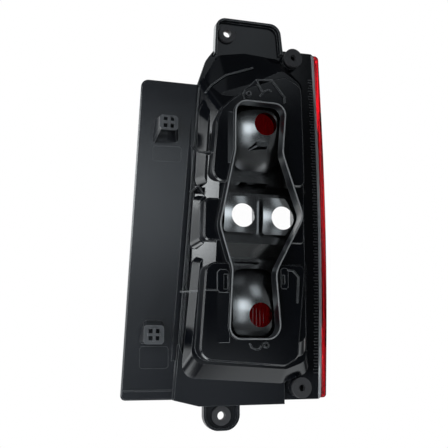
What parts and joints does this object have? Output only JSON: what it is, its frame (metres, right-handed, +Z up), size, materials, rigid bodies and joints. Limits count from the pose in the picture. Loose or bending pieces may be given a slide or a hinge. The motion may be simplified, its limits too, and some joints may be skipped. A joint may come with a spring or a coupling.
{
  "type": "tail light cluster",
  "caption": "Tall rear lamp unit: black moulded housing with a bulb-carrier collar, metallised reflector, red lens with clear window, side flange, clip towers and rubber-sealed tabs.",
  "frame": {"origin": "axis of the lower tab's screw hole, at the tab's vehicle-side face", "axes": "+Z up the lamp, +Y out of the lens along the screws and the bulb axes, +X to the right as seen from the vehicle side"},
  "size_m": [0.2457, 0.076, 0.4858],
  "materials": {
    "housing": "moulded black, smooth on the chambers and finer grained on the flange",
    "reflector": "bright metallised front, dark smooth back",
    "red_lens": "clear red, polished",
    "clear_lens": "colourless, polished",
    "seal": "matte dark grey"
  },
  "bodies": {
    "root": {"rear_housing": "housing", "reflector": "reflector", "outer_lens": "red_lens", "clear_window": "clear_lens", "upper_tab_washer": "seal", "lower_tab_washer": "seal", "upper_pin_grommet": "seal", "lower_pin_grommet": "seal"}
  },
  "joints": []
}
